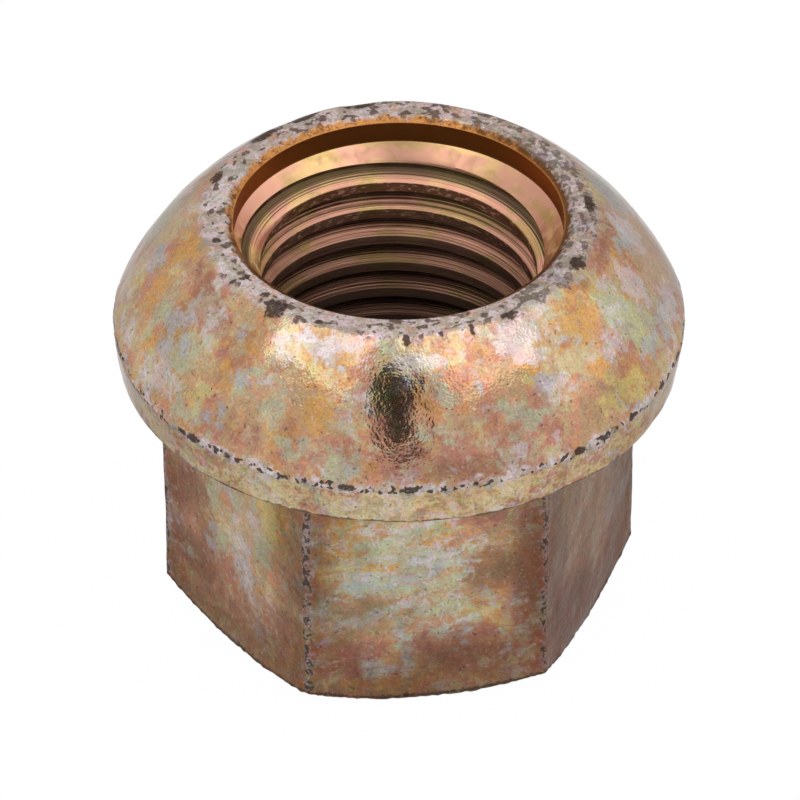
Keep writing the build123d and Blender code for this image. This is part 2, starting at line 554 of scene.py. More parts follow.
# the same below the seat, with a height in mm in place of the elevation
sidePatches = {
    "gold": [(-18, 12.2, 1.6, 0.45), (-14, 9.5, 1.0, 1.6), (4, 12.3, 1.8, 0.4), (3, 1.0, 3.5, 0.5),
             (25, 3.5, 0.6, 2.5), (-75, 10.5, 0.6, 1.2), (-32, 9.5, 0.4, 2.0), (0, 13.8, 1.6, 0.3),
             (10, 9.6, 0.9, 0.7), (-4, 8.0, 0.8, 0.6)],
    "straw": [(-45, 11.3, 2.0, 0.9), (-53, 11.0, 2.2, 1.1), (-40, 10.6, 1.2, 1.0), (-14, 7.6, 1.0, 0.5),
              (-48, 10.2, 0.22, 1.2, 24), (-28, 13.9, 1.0, 0.5), (20, 14.0, 1.2, 0.3), (-38, 8.8, 1.0, 1.4),
              (-21, 2.4, 1.2, 1.0), (-58, 11.9, 1.4, 0.3), (22, 4.8, 0.9, 0.4, 12)],
    # the rose patches at azimuths 45 and 60 and the brown ones from 42 to 62 make the right flat darker and
    # browner: painted shade
    "rose": [(-15, 2.6, 2.4, 1.0), (16, 3.0, 2.4, 1.4), (-62, 4.0, 1.6, 2.0), (-72, 8.5, 0.9, 3.0),
             (45, 5.0, 3.0, 4.2), (60, 6.0, 2.6, 4.5), (20, 10.8, 1.4, 1.0), (38, 10.0, 1.4, 2.4),
             (-36, 3.0, 1.6, 1.6), (-76, 5, 1.5, 2.5), (4, 3.4, 1.2, 0.6)],
    "brown": [(52, 7.0, 4.0, 6.0), (20, 2.0, 2.2, 0.9), (62, 3.0, 2.0, 2.4), (58, 8.5, 2.8, 4.5),
              (-66, 7.0, 0.8, 4.0), (24, 7.2, 1.2, 1.3), (-70, 3.5, 1.5, 1.2), (42, 8.0, 1.6, 3.6),
              (23, 11.0, 1.0, 0.9), (-24, 6.4, 0.8, 0.8), (50, 3.5, 2.4, 1.8), (48, 12.0, 2.0, 0.6)],
    "mint": [(-2, 9.2, 1.8, 0.35, 10), (-9, 6.8, 1.8, 0.4, 22), (6, 6.6, 1.6, 0.6, 8),
             (6, 11.5, 1.3, 0.3, 8), (-22, 9.6, 0.7, 0.2, -14), (-20, 5.4, 0.7, 0.5), (1, 3.8, 0.2, 1.4, 6),
             (-62, 8.0, 0.6, 1.2), (-12, 13.6, 1.2, 0.4), (12, 5.2, 1.2, 0.5, 10), (10, 7.6, 1.2, 0.5, 14),
             (-4, 10.8, 1.0, 0.25, 12), (2, 8.2, 1.5, 0.6), (-7, 8.4, 1.2, 0.5, 10), (-51, 8.5, 0.5, 0.8),
             (-59, 5.5, 0.5, 0.9), (-40, 7.0, 0.6, 0.8)],
    "sky": [(-9, 7.0, 1.0, 0.5), (10, 7.2, 1.0, 0.4), (3, 7.0, 0.8, 0.4), (0.5, 3.0, 0.2, 1.2, 6),
            (-5, 1.8, 0.5, 0.3), (-2, 11.0, 1.0, 0.2, 12), (-50, 5.0, 0.6, 1.4), (-57, 9.0, 0.5, 0.6)],
    "pale": [(-7, 9.8, 1.6, 0.2, 3), (8, 10.0, 1.8, 0.13, 14), (11, 8.6, 1.2, 0.3, 8),
             (-3, 5.2, 1.6, 0.25, 20), (18, 4.4, 1.0, 0.12, 18), (-50, 6.0, 0.4, 1.2), (-30, 13.9, 0.8, 0.4),
             (14, 11.0, 0.9, 0.2, 5), (-46, 4.0, 0.22, 1.4, 12), (-44, 8.0, 0.4, 0.6),
             (-10, 11.2, 1.0, 0.2, 6), (2, 7.8, 1.4, 0.2, 12)],
    "grey": [(-80, 11, 1.0, 3.0), (-46, 7.5, 1.6, 1.6)],
}

# chips down to the steel, and grey metal beside them, on the edge between seat and collar: azimuth, half
# length along the edge, half width
rimMarks = {
    "chip": [(-48.4, 0.38, 0.13), (-45, 0.36, 0.2), (-36.3, 0.22, 0.17), (-33.5, 0.1, 0.08),
             (-31, 0.1, 0.09), (-23, 0.25, 0.17), (-19, 0.15, 0.17), (-10.5, 0.38, 0.16), (0.6, 0.16, 0.16),
             (9.5, 0.08, 0.1), (15, 0.18, 0.12), (18, 0.2, 0.1), (38, 0.36, 0.19), (44.5, 0.2, 0.13),
             (48, 0.25, 0.16), (53.5, 0.3, 0.15), (65, 0.35, 0.17), (75, 0.5, 0.13), (-80, 0.6, 0.12),
             (-86, 0.4, 0.1), (83, 0.5, 0.1)],
    "pale": [(-53, 0.25, 0.2), (-38.5, 0.3, 0.22), (-26, 0.5, 0.15), (-2, 0.4, 0.25), (4.5, 0.6, 0.2),
             (12.5, 0.4, 0.2), (21, 0.5, 0.17), (31, 0.25, 0.22), (57, 0.5, 0.2), (61, 0.4, 0.2)],
}

# the same on the ring: azimuth, radius, half length along the ring, half width
ringMarks = {
    "chip": [(-57, 8.75, 0.12, 0.25), (-56, 8.2, 0.14, 0.25), (-39, 8.6, 0.55, 0.5), (-45, 8.3, 0.2, 0.22),
             (-24, 8.6, 0.2, 0.14), (2, 8.95, 0.2, 0.25), (12, 8.85, 0.12, 0.14), (21, 8.85, 0.12, 0.3),
             (33, 8.75, 0.4, 0.2), (66, 8.6, 0.5, 0.35), (-77, 8.3, 0.2, 0.2), (-110, 8.7, 0.6, 0.25),
             (-135, 8.6, 0.8, 0.25), (-150, 8.65, 0.7, 0.25), (-168, 8.6, 0.8, 0.2), (95, 8.6, 0.7, 0.25)],
}

paint = {
    "depth": 1.5,  # mm off its own plane where a patch ends
    "softEdge": 0.6,
    "leastWidth": 0.3,
    "rimLean": 15,
    # the hidden side has random patches, with these ranges of azimuth and height and these half sizes
    "seed": 7,
    "perTint": 9,
    "hiddenSeat": ((100, 260), (26, 49), (1.6, 1.1)),
    "hiddenSide": ((85, 275), (2, 12), (2.2, 1.8)),
    "hiddenTilt": 30,
    "hiddenRim": (98, 262, 8),  # a chip about every 8 degrees
}


def stamp(places, azimuth, z, radius, lean, patch):  # above 0 inside the patch
    across, up, tilt = (*patch, 0)[:3]
    angle = math.radians(front + azimuth)
    side = np.array((-math.sin(angle), math.cos(angle), 0))
    out = np.array((math.cos(angle) * math.cos(lean), math.sin(angle) * math.cos(lean), math.sin(lean)))
    rise = np.cross(out, side)
    c, s = math.cos(math.radians(tilt)), math.sin(math.radians(tilt))
    away = places - np.array((radius * math.cos(angle), radius * math.sin(angle), z))
    u, v, w = away @ (side * c + rise * s), away @ (rise * c - side * s), away @ out
    gap = np.sqrt((u / across) ** 2 + (v / up) ** 2 + (w / paint["depth"]) ** 2)
    return (1.0 - gap) * max(min(across, up), paint["leastWidth"]) / paint["softEdge"]


def hexagonRadius(azimuth):
    turned = (math.radians(front + azimuth) - math.pi / 6) % (math.pi / 3)
    return nut["acrossFlats"] / 2 / math.cos(min(turned, math.pi / 3 - turned))


def spotsOf(seatSpots, rimSpots, ringSpots, sideSpots):
    # where each patch lies: azimuth, height, radius, how far its face leans back, and its size
    for azimuth, elevation, *patch in seatSpots:
        lean = math.radians(elevation)
        z = nut["seatCentre"] + nut["seatRadius"] * math.sin(lean)
        yield azimuth, z, nut["seatRadius"] * math.cos(lean), lean, patch
    for azimuth, *patch in rimSpots:
        yield azimuth, nut["bandTop"], nut["collarRadius"], math.radians(paint["rimLean"]), patch
    for azimuth, radius, *patch in ringSpots:
        yield azimuth, nut["height"], radius, math.radians(90), patch
    for azimuth, z, *patch in sideSpots:
        radius = hexagonRadius(azimuth) if z < nut["bandFoot"] else nut["footRadius"] + 0.1
        yield azimuth, z, radius, 0.0, patch


def hiddenPatch(dice, azimuths, heights, size):
    share = dice.uniform(0.5, 1.0)
    place = dice.uniform(*azimuths), dice.uniform(*heights)
    tilt = dice.uniform(-paint["hiddenTilt"], paint["hiddenTilt"])
    return (*place, size[0] * share, size[1] * share, tilt)


def paintPatches(piece):
    # each tint becomes an attribute: above 0 inside its patches, falling to -1 away from them
    mesh = piece.data
    places = np.empty(len(mesh.vertices) * 3, np.float32)
    mesh.vertices.foreach_get("co", places)
    places = places.reshape(-1, 3) / mm
    dice = random.Random(paint["seed"])
    hiddenChips = [(azimuth + dice.uniform(-3, 3), dice.uniform(0.1, 0.4), dice.uniform(0.09, 0.18))
                   for azimuth in range(*paint["hiddenRim"])]
    for tint in [*seatPatches, "chip"]:
        seatSpots, sideSpots = list(seatPatches.get(tint, [])), list(sidePatches.get(tint, []))
        rimSpots = rimMarks.get(tint, []) + (hiddenChips if tint == "chip" else [])
        for _ in range(paint["perTint"] if tint in seatPatches else 0):
            seatSpots.append(hiddenPatch(dice, *paint["hiddenSeat"]))
            sideSpots.append(hiddenPatch(dice, *paint["hiddenSide"]))
        best = np.full(len(places), -1.0)
        for spot in spotsOf(seatSpots, rimSpots, ringMarks.get(tint, []), sideSpots):
            best = np.maximum(best, stamp(places, *spot))
        best = np.clip(best, -1.0, 1.5).astype(np.float32)
        mesh.attributes.new(tint, "FLOAT", "POINT").data.foreach_set("value", best)

    # the chips, painted last, are sunk into the skin
    inward = -places * (1, 1, 0) / np.linalg.norm(places[:, :2], axis=1)[:, None] - (0, 0, 0.4)
    places += inward * np.clip(best + 0.1, 0, 0.3)[:, None] / 0.3 * wear["chipDepth"]
    mesh.vertices.foreach_set("co", (places * mm).astype(np.float32).ravel())
    print("patches painted")


def mixed(share, below, above, kind="RGBA", blend="MIX"):
    tree = treeOf((share, below, above))
    node = tree.nodes.new("ShaderNodeMix")
    node.data_type, node.blend_type = kind, blend
    for name, value in (("Factor", share), ("A", below), ("B", above)):
        plug(tree, next(socket for socket in node.inputs if socket.name == name and socket.enabled), value)
    return Wire(tree, next(socket for socket in node.outputs if socket.enabled))


def cover(below, share, name):  # a coat of one of the palette's colours over what is there
    return mixed(share, below, linear(name))


def between(share, first, second):  # from one of the palette's colours to another
    return mixed(share, linear(first), linear(second))


def attribute(tree, name):
    return addNode(tree, "ShaderNodeAttribute", out="Fac", attribute_name=name)


def nearTo(value, level, width):  # 1 at the level, 0 from a width away
    return ramp(abs(value - level), width, 0.0)


def larger(*values):
    most = values[0]
    for value in values[1:]:
        most = maths("MAXIMUM", most, value)
    return most


def tinted(colour, strength):  # a colour noise about its middle, this strong
    return scaled(shifted(colour, (-0.5,) * 3), (strength,) * 3)


noises = {  # scale for each mm, detail and roughness
    "warp": (1.3, 1.0, 0.5),
    "mottle": (1.5, 2.4, 0.55),
    "flake": (1.3, 2.8, 0.58),
    "drift": (0.4, 0.0, 0.5),
    "speck": (5.0, 1.0, 0.6),
    "dust": (11.0, 0.0, 0.5),
    "streak": (1.2, 3.0, 0.7),
    "net": (0.85, 3.0, 0.6),
    "corner": (3.4, 2.0, 0.6),
    "ring": (3.0, 1.6, 0.55),
    "rim": (3.4, 1.0, 0.6),
    "pits": (4.2, 1.0, 0.5),
    "stroke": (1.0, 2.0, 0.6),
    "toolLines": (2.2, 3.0, 0.6),
    "boreTone": (0.7, 3.0, 0.6),
    "torn": (3.0, 2.0, 0.6),
}

# films of colour: soft drifts or crisper flakes, with an ambient level where no patch is painted
films = [
    {"tint": "gold", "colour": "gold", "strength": 0.8, "edge": 0.45, "ragged": 3.4, "ambient": -0.4},
    {"tint": "straw", "colour": "straw", "strength": 0.75, "edge": 0.45, "ragged": 3.4, "ambient": -0.5},
    {"tint": "rose", "colour": "rose", "strength": 0.75, "edge": 0.5, "ragged": 3.4, "ambient": -0.55},
    {"tint": "brown", "colour": "brown", "strength": 0.7, "edge": 0.5, "ragged": 3.4, "ambient": -0.65},
    {"tint": "grey", "colour": "haze", "strength": 0.55, "edge": 0.5, "ragged": 3.8, "ambient": -0.45},
    {"tint": "mint", "colour": "mint", "strength": 0.6, "edge": 0.35, "ragged": 3.8, "ambient": -0.8},
    {"tint": "sky", "colour": "skyGrey", "strength": 0.6, "edge": 0.35, "ragged": 3.8, "ambient": -0.8},
    {"tint": "pale", "colour": "lavender", "strength": 0.55, "edge": 0.38, "ragged": 3.8, "ambient": -0.8},
]

coats = {  # how strongly each tone covers what lies under it
    "olive": 0.6,
    "streaks": 0.35,
    "net": 0.7,
    # painted shade: the flats browner low down
    "lowShade": 0.6,
    "leftward": 0.18,
    # painted shade: the right flats browner
    "rightward": 0.6,
    # painted shade: the flats darker beside the corners
    "cornerShade": 0.55,
    "bandStraw": 0.62,
    "bandPale": 0.5,
    # painted shadow along the band's foot
    "creaseShade": 0.8,
    "zinc": 0.8,
    "cornerZinc": (0.62, 0.42),  # from the left corners to the right ones
    "baseZinc": 0.3,
    "blush": 0.7,
    "scale": 0.85,
    "ringShade": 0.35,
    "ringChips": 0.88,
    "chips": 0.9,
    "cornerChips": 0.85,
    "hem": 0.85,
    "specks": 0.3,
    "pits": 0.5,
    "dirt": 0.25,
}

boreCoats = {
    "olive": 0.75,
    "toolMarks": 0.6,
    # the next five: painted shade on the thread's roots, crests, lead-in cone and lower flanks, with tool
    # marks in the roots; torn places are left lighter
    "sheltered": 0.84,
    "crest": 0.88,
    "torn": 0.5,
    "cone": 0.18,
    "flankShade": 0.4,
    "wall": 0.9,
    "mouthSpecks": 0.6,
    "mouth": 0.9,
}

finish = {
    "metal": 0.97,
    "underMetal": 0.1,
    "specular": 0.1,
    "edgeTint": (0.65, 0.61, 0.6, 1.0),
    "outsideRoughness": 0.14,
    "boreRoughness": 0.32,
    # painted shade low in the bore
    "boreDeepShade": (0.02, 0.012, 0.009, 1),
    # brightness; the levels from sideLevel to underLevel set painted shade on the flats, the band and the
    # base
    "level": 0.88,
    "sideLevel": 0.5,
    "sideMiddle": 0.86,
    "rightSide": 0.8,
    "bandLevel": 0.74,
    "underLevel": 0.8,
    "grain": 0.3,
    "tint": 0.12,
    "flutter": 0.22,
    # widths and radii in mm
    "wornWidth": 0.34,
    "ringOuter": 9.0,
    "ringInner": 8.7,
    "mouthEdge": 7.66,
    "mouthBlend": 0.12,
    "cornerWidth": 0.336,
    "baseWidth": 0.3,
    # patterns
    "bend": 0.8,
    "ringLevel": 0.56,
    "ringChipLength": 1.7,
    "strokeDensity": 26,
    "toolLineDensity": 3.0,
}


def readSkin(tree):  # what the finish knows of a point: its place, its edges and the noises there
    at = SimpleNamespace(tree=tree)
    at.place = scaled(addNode(tree, "ShaderNodeTexCoord", out="Object"), (1 / mm,) * 3)
    at.x, at.y, at.z = split(at.place)
    at.radius = maths("SQRT", at.x * at.x + at.y * at.y)
    at.rightness = at.x / at.radius  # -1 at the left of the front, 1 at its right
    at.cornerGap = attribute(tree, "cornerGap")
    at.baseGap = attribute(tree, "baseGap")
    at.side = ramp(at.cornerGap, farGap - 1.0, farGap - 2.0)
    at.facing = ramp(abs(at.y) / at.radius, 0.7, 0.87)  # the flats across Y, which were rubbed

    warp = noise(at.place, *noises["warp"], out="Color")
    at.bent = shifted(at.place, tinted(warp, finish["bend"]))
    at.mottleColour = noise(at.bent, *noises["mottle"], out="Color")
    at.mottle = split(at.mottleColour)
    x, y, z = split(at.bent)
    drawn = vector(x * 0.85, y * 0.85, z * 1.25 - x * 0.15)  # flakes on the flats are drawn out into streaks
    flakePlace = mixed(at.side * at.facing, at.bent, drawn, kind="VECTOR")
    at.flake = split(noise(shifted(flakePlace, (40, 9, 17)), *noises["flake"], out="Color"))
    at.drift = split(noise(shifted(at.place, (11, 23, 5)), *noises["drift"], out="Color"))
    at.speckColour = noise(at.place, *noises["speck"], out="Color")
    at.speck = split(at.speckColour)
    at.dust = split(noise(at.place, *noises["dust"], out="Color"))
    return at


def filmColour(at):
    colour = between(ramp(at.drift[0] + sway(at.mottle[0], 1.5), 0.35, 0.65), "tan", "salmon")
    colour = cover(colour, at.side * ramp(at.mottle[2], 0.4, 0.6) * coats["olive"], "olive")
    for number, film in enumerate(films):
        edges = at.mottle if film["edge"] > 0.4 else at.flake
        channel = number % 3
        around = film["ambient"] + sway(at.drift[(channel + 1) % 3], 3.0) - at.side * film["edge"] * 0.4
        level = larger(attribute(at.tree, film["tint"]), around)
        level = level + sway(edges[channel], film["ragged"]) + sway(at.speck[channel], 0.5)
        share = ramp(level, -film["edge"], film["edge"]) * film["strength"]
        colour = cover(colour, share, film["colour"])
    return colour


def flatTones(at, colour):  # scratches rubbed along the flats, and painted shade that makes them browner low down, beside the corners and on the right flats
    mottle, side = at.mottle, at.side
    streak = noise(vector(at.x * 0.5, at.y * 0.5, at.z * 5.0 - at.x * 0.7), *noises["streak"])
    rubbed = ramp(mottle[0] + at.flake[1], 0.9, 1.1) * side * (at.facing * 0.8 + 0.2)
    colour = cover(colour, ramp(streak, 0.6, 0.68) * rubbed * coats["streaks"], "lavender")
    scuffed = larger(*(attribute(at.tree, tint) for tint in ("mint", "pale", "sky")))
    scuffed = ramp(scuffed + sway(mottle[1], 1.2), -0.75, -0.1)
    net = nearTo(noise(at.bent, *noises["net"]), 0.5, 0.045) * scuffed * side * at.facing
    netColour = between(ramp(mottle[2], 0.45, 0.6), "mint", "lavender")
    colour = mixed(net * coats["net"], colour, netColour)
    # painted shade: the flats browner and darker low down
    lowShade = ramp(at.z + sway(mottle[1], 8.0), 5.0, 0.0) * side
    colour = cover(colour, lowShade * coats["lowShade"], "rosyBrown")
    leftward = ramp(at.rightness + sway(mottle[1], 0.3), -0.45, -0.65) * side
    colour = cover(colour, leftward * coats["leftward"], "taupe")
    # painted shade: the right flats browner and darker
    at.rightward = ramp(at.rightness, 0.5, 0.62) * side
    rightFlatShade = between(ramp(at.z + sway(at.drift[0], 8.0), 3.0, 8.0), "rosyBrown", "taupe")
    colour = mixed(at.rightward * coats["rightward"], colour, rightFlatShade)
    # painted shade: the flats darker beside the corners
    cornerShade = ramp(at.cornerGap + sway(mottle[2], 5.0), 1.7, 0.0) * side
    return cover(colour, cornerShade * coats["cornerShade"], "shadeBrown")


def bandTones(at, colour):  # the collar's band, and a dark painted shadow along its foot
    foot, top = nut["bandFoot"], nut["bandTop"]
    at.onBand = ramp(at.z, foot - 0.1, foot + 0.3) * ramp(at.z, top, top - 0.15)
    straw = ramp(at.flake[1] + sway(at.speck[0], 0.5), 0.4, 0.58) * at.onBand
    colour = cover(colour, straw * coats["bandStraw"], "paleStraw")
    pale = ramp(at.mottle[0] + sway(at.speck[1], 0.5), 0.52, 0.66) * at.onBand
    colour = cover(colour, pale * coats["bandPale"], "lavender")
    # painted shadow where the band meets the flats, in the chip colour
    creaseShade = nearTo(at.z, foot + 0.02, 0.28) + sway(at.mottle[2], 1.6) + sway(at.speck[1], 0.8)
    return cover(colour, ramp(creaseShade, 0.5, 1.0) * coats["creaseShade"], "chip")


def wornEdges(at, colour):  # rubbed zinc along the rims and corners
    mottle, speck = at.mottle, at.speck
    at.rimGap = rimDistance(at.z, at.radius)
    rimWorn = (finish["wornWidth"] - at.rimGap) * 2.0 + sway(at.flake[0], 4.5) + sway(speck[2], 1.0)
    ringSpan = at.radius + sway(mottle[1], 0.9) + sway(speck[1], 0.5)
    at.ringNear = ramp(ringSpan, finish["ringOuter"], finish["ringInner"])
    at.ringNear = at.ringNear * ramp(at.z, nut["height"] - 1.0, nut["height"] - 0.6)
    at.cornerNoise = noise(shifted(at.place, (3, 8, 1)), *noises["corner"])
    at.broad = ramp(at.drift[1] + sway(mottle[2], 0.6), 0.42, 0.7)
    at.cornerSpan = at.cornerGap * ramp(at.rightness, -0.3, 0.4, (1.25, 1.8))
    cornerWorn = at.cornerSpan - sway(at.cornerNoise, 1.3) - at.broad * 0.3
    cornerWorn = ramp(cornerWorn, finish["cornerWidth"], 0.04)
    cornerWorn = cornerWorn * ramp(at.rightness, 0.2, 0.4, coats["cornerZinc"])
    baseWorn = ramp(abs(at.baseGap) - sway(at.cornerNoise, 1.6), 0.2, 0.0)
    at.worn = larger(ramp(rimWorn, -0.1, 0.8), at.ringNear, cornerWorn, baseWorn * coats["baseZinc"])
    zinc = between(ramp(mottle[0] + sway(speck[2], 0.7), 0.4, 0.6), "zinc", "lavender")
    colour = mixed(at.worn * coats["zinc"], colour, zinc)
    blush = ramp(at.flake[2] + sway(speck[0], 0.3), 0.56, 0.64) * at.ringNear
    return cover(colour, blush * coats["blush"], "salmon")


def chips(at, colour):  # down to the steel on the ring, the seat's edge and the corners, and a dark broken line along the base's edge
    mottle, speck = at.mottle, at.speck
    around = nut["ringRadius"] / finish["ringChipLength"]
    ringPlace = vector(at.rightness * around, at.y / at.radius * around, at.radius)
    ringLevel = noise(ringPlace, *noises["ring"])
    ringLevel = ringLevel + sway(at.drift[2], 0.16) + sway(speck[1], 0.2) + at.rightness * 0.04
    at.ringBare = ramp(ringLevel, finish["ringLevel"] - 0.02, finish["ringLevel"] + 0.06) * at.ringNear
    rimSpecks = ramp(at.rimGap, 0.4, 0.1) * 1.1 + sway(noise(at.place, *noises["rim"]), 4.2) - 1.4
    rimBare = larger(attribute(at.tree, "chip"), rimSpecks)
    at.rimBare = ramp(rimBare + sway(speck[2], 0.7) + sway(mottle[0], 0.8), -0.1, 0.12)
    cornerBare = ramp(at.cornerNoise + sway(speck[1], 0.5), 0.48, 0.55)
    at.cornerBare = cornerBare * ramp(at.cornerSpan - sway(mottle[1], 1.0) - at.broad * 0.12, 0.28, 0.17)

    # on the base and its chamfer the film is gone, and scale is left; its dark colour is partly painted
    # shade, as these face the floor
    at.underBase = ramp(at.baseGap + sway(mottle[0], 0.5), 0.05, -0.15)
    baseBare = at.z + sway(at.cornerNoise, 1.0) + sway(speck[0], 0.4)
    baseBare = ramp(baseBare, finish["baseWidth"] + at.underBase * 0.3, 0.04)
    baseBare = baseBare * ramp(at.radius, nut["baseLandRadius"] - 0.3, nut["baseLandRadius"] - 0.1)
    hem = ramp(abs(at.baseGap) - sway(at.cornerNoise, 0.5) - sway(speck[0], 0.3), 0.26, 0.1)
    scale = between(ramp(mottle[1] + sway(speck[1], 0.8), 0.4, 0.6), "scale", "rosyBrown")
    colour = mixed(at.underBase * coats["scale"], colour, scale)

    ringRight = ramp(at.rightness, 0.2, 0.8) * at.ringNear
    shaded = ringRight * ramp(mottle[2] + sway(speck[0], 0.6), 0.35, 0.6)
    colour = cover(colour, shaded * coats["ringShade"], "ringChip")
    colour = cover(colour, at.ringBare * (coats["ringChips"] - ringRight * 0.2), "ringChip")
    bare = larger(at.rimBare, at.cornerBare * coats["cornerChips"], larger(baseBare, hem * coats["hem"]))
    return cover(colour, bare * coats["chips"], "chip")


def grainAndDirt(at, colour):  # specks, pits, strokes and grain, and how bright each region is, partly painted shade and painted light
    mottle, speck, dust, drift = at.mottle, at.speck, at.dust, at.drift
    colour = cover(colour, ramp(speck[0], 0.62, 0.74) * coats["specks"], "lavender")
    pits = noise(shifted(at.place, (5, 5, 5)), *noises["pits"]) + at.rightward * 0.03
    colour = cover(colour, ramp(pits, 0.7, 0.75) * coats["pits"], "chip")
    density = finish["strokeDensity"]
    stroke = noise(vector(at.rightness * density, at.y / at.radius * density, at.z * 0.7), *noises["stroke"])
    # painted shade: the flats darker than the seat, most beside their corners, low down and on the right
    # flats; the band darker than the seat and most towards its ends, more on the left; the base a little
    # darker; painted light: the ring lighter towards the front
    middle = ramp(at.cornerGap + sway(drift[1], 4.0), 0.5, 3.5) * ramp(at.z + sway(drift[0], 5.0), 1.0, 6.0)
    onFlats = blendTo(middle, finish["sideLevel"], finish["sideMiddle"])
    onFlats = onFlats * ramp(at.rightness, 0.5, 0.62, (1.0, finish["rightSide"]))
    onBand = finish["bandLevel"] - at.x * at.x * 0.0007 - ramp(at.x, -2.0, -9.0) * 0.05
    level = blendTo(at.onBand, finish["level"], onBand)
    level = blendTo(at.side, level + at.ringNear * ramp(at.y, 0.0, -8.0) * 0.07, onFlats)
    level = blendTo(ramp(at.baseGap, 0.0, -0.1), level, finish["underLevel"])
    shade = sway(speck[1], finish["grain"]) + sway(dust[2], finish["grain"])
    shade = shade + sway(stroke, 0.3 - at.rightward * 0.2)
    shade = (shade + sway(mottle[0], 0.35) + sway(drift[2], 0.3) + 1.0) * level
    dirt = ramp(dust[0] + sway(speck[1], 0.4), 0.62, 0.74) * (coats["dirt"] - at.side * 0.08)
    colour = cover(colour, dirt, "chip")
    gain = shifted(vector(shade, shade, shade), tinted(at.speckColour, finish["tint"]))
    gain = shifted(gain, tinted(at.mottleColour, finish["flutter"]))
    return mixed(1.0, colour, gain, blend="MULTIPLY")


def boreColour(at):  # brighter film near the mouth, tool lines that follow the thread, and painted shade that makes the bore darker further down
    speck, floor = at.speck, nut["counterboreZ"]
    aside = abs(at.x) / at.radius
    phase = maths("ARCTAN2", at.y, at.x) - at.z * (2 * math.pi / thread["pitch"])
    density = finish["toolLineDensity"]
    linePlace = vector(maths("COSINE", phase) * density, maths("SINE", phase) * density, at.z * 0.4)
    at.toolLines = noise(linePlace, *noises["toolLines"])
    at.threaded = attribute(at.tree, "groove")
    tone = split(noise(scaled(at.place, (0.5, 0.5, 1.2)), *noises["boreTone"], out="Color"))
    lower = ramp(at.z, floor - 0.9, floor - 2.6) * 0.12 + aside * 0.06
    bore = between(ramp(tone[0] + lower, 0.46, 0.6), "boreGold", "boreRose")
    bore = cover(bore, ramp(tone[1] + sway(speck[0], 0.15), 0.5, 0.62) * boreCoats["olive"], "boreOlive")
    bore = cover(bore, ramp(at.toolLines, 0.52, 0.62) * at.threaded * boreCoats["toolMarks"], "toolMark")

    # the thread, in painted shade: dark roots that also carry tool marks, dark crests with torn places, a
    # plainer lead-in cone darkened most at its right, flanks that turn brown further down
    down = ramp(at.z, floor - 1.5, floor - 4.0)
    # the roots and upper flanks dark: tool marks and painted shade
    sheltered = ramp(at.radius + sway(at.toolLines, 1.3) - down * 0.1, 6.4, 6.68) * at.threaded
    roots = between(down, "toolMark", "deepBrown")
    bore = mixed(sheltered * (boreCoats["sheltered"] - down * 0.06), bore, roots)
    at.onCrest = ramp(at.radius, thread["minorRadius"] + 0.04, thread["minorRadius"] + 0.01)
    torn = ramp(noise(scaled(at.place, (1.0, 1.0, 2.0)), *noises["torn"]), 0.54, 0.62)
    torn = torn * ramp(at.z, floor - 4.5, floor - 2.0)
    # painted shade: dark crests, lighter where torn
    crest = at.onCrest * (boreCoats["crest"] - down * 0.06 - torn * boreCoats["torn"])
    bore = mixed(crest, bore, between(down, "crest", "deepBrown"))
    # painted shade on the lead-in cone, strongest at its right, weakest at its left
    cone = ramp(at.z, floor - 1.3, floor - 0.9) * (1 - at.threaded)
    cone = cone * (aside * aside * ramp(at.x, -1.0, 1.0, (-0.1, 0.2)) + boreCoats["cone"])
    bore = cover(bore, cone, "crest")
    # painted shade: the flanks browner further down
    flankShade = ramp(at.z, floor - 3.0, floor - 6.5) * (1 - sheltered) * (1 - at.onCrest)
    bore = cover(bore, flankShade * boreCoats["flankShade"], "crest")
    # painted shade: near black low in the bore
    bore = mixed(ramp(at.z, floor - 10.5, floor - 2.5, (0.12, 1.0)), finish["boreDeepShade"], bore)

    # the counterbore's wall and the chamfer of the mouth
    bore = cover(bore, ramp(at.z, floor, floor + 0.1) * boreCoats["wall"], "boreWall")
    chamfer = ramp(at.z, nut["mouthZ"] - 0.05, nut["mouthZ"] + 0.08)
    lit = (at.y * 0.9 - at.x * 0.45) / at.radius + sway(at.mottle[1], 2.5) + sway(speck[1], 1.5)
    mouth = between(ramp(lit, 0.0, 1.0), "mouthBrown", "mouthGold")
    specks = ramp(speck[2] + sway(at.dust[1], 0.5), 0.5, 0.66)
    mouth = cover(mouth, specks * boreCoats["mouthSpecks"], "mouthBrown")
    return mixed(chamfer * boreCoats["mouth"], bore, mouth)


